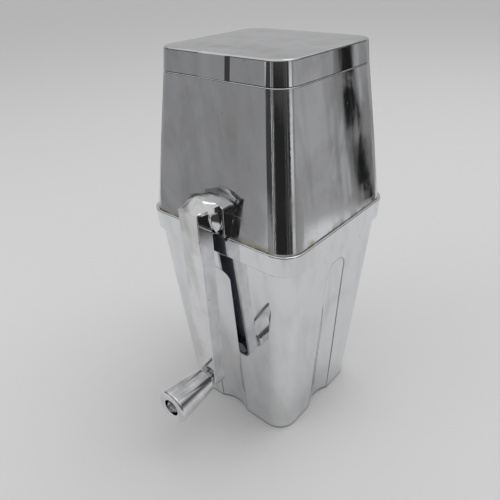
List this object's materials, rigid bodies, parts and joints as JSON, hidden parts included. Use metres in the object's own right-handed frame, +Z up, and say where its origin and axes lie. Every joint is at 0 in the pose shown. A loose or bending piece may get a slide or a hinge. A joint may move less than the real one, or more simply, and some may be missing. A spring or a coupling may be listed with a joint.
{
  "type": "hand crank ice crusher",
  "caption": "Tall chromed hand crank ice crusher: a drafted housing with a hinged lid and a front crank stands on a tapered ice cup.",
  "frame": {"origin": "centre of the cup's flat foot, on the table", "axes": "+Z up, -Y towards the crank, +X to the right seen from the crank's side; the lid's hinge is on +Y"},
  "size_m": [0.1192, 0.1622, 0.26],
  "materials": {
    "chromed_plastic": "polished",
    "chromed_metal": "polished",
    "chromed_knob": "polished",
    "steel_screw": "polished",
    "zinc_screws": "satin",
    "steel_shaft": "satin",
    "blade_steel": "satin",
    "spacer_metal": "satin",
    "cast_metal": "satin",
    "frame_plastic": "satin",
    "bush_plastic": "satin"
  },
  "bodies": {
    "cup": {"ice_cup": "chromed_plastic"},
    "housing": {"upper_housing": "chromed_plastic", "hopper_frame": "frame_plastic", "fine_comb": "cast_metal", "coarse_comb": "cast_metal", "comb_screws": "zinc_screws", "frame_screws": "zinc_screws", "front_bushing": "bush_plastic", "rear_bushing": "bush_plastic", "lid_hinge_pin": "steel_shaft"},
    "lid": {"lid": "chromed_plastic"},
    "crank": {"drive_shaft": "steel_shaft", "shaft_clip": "steel_shaft", "thrust_washer": "chromed_metal", "crank_arm": "chromed_metal", "knob_collar": "chromed_metal", "knob_screw": "steel_screw", "blade_1": "blade_steel", "blade_2": "blade_steel", "blade_3": "blade_steel", "blade_4": "blade_steel", "blade_5": "blade_steel", "spacer_1": "spacer_metal", "spacer_2": "spacer_metal", "spacer_3": "spacer_metal", "spacer_4": "spacer_metal", "spacer_5": "spacer_metal", "spacer_6": "spacer_metal"},
    "knob": {"knob": "chromed_knob"}
  },
  "joints": [
    {"name": "housing_lift", "type": "slide", "parent": "cup", "child": "housing", "axis": [0, 0, 1], "range_m": [0, 0.06]},
    {"name": "lid_hinge", "type": "hinge", "parent": "housing", "child": "lid", "pos_m": [0, 0.0488, 0.249], "axis": [-1, 0, 0], "range_deg": [0, 105]},
    {"name": "crank_turn", "type": "hinge", "parent": "housing", "child": "crank", "pos_m": [0, -0.0622, 0.1725], "axis": [0, -1, 0], "continuous": true},
    {"name": "knob_turn", "type": "hinge", "parent": "crank", "child": "knob", "pos_m": [0, -0.09, 0.0483], "axis": [0, -1, 0], "continuous": true}
  ]
}
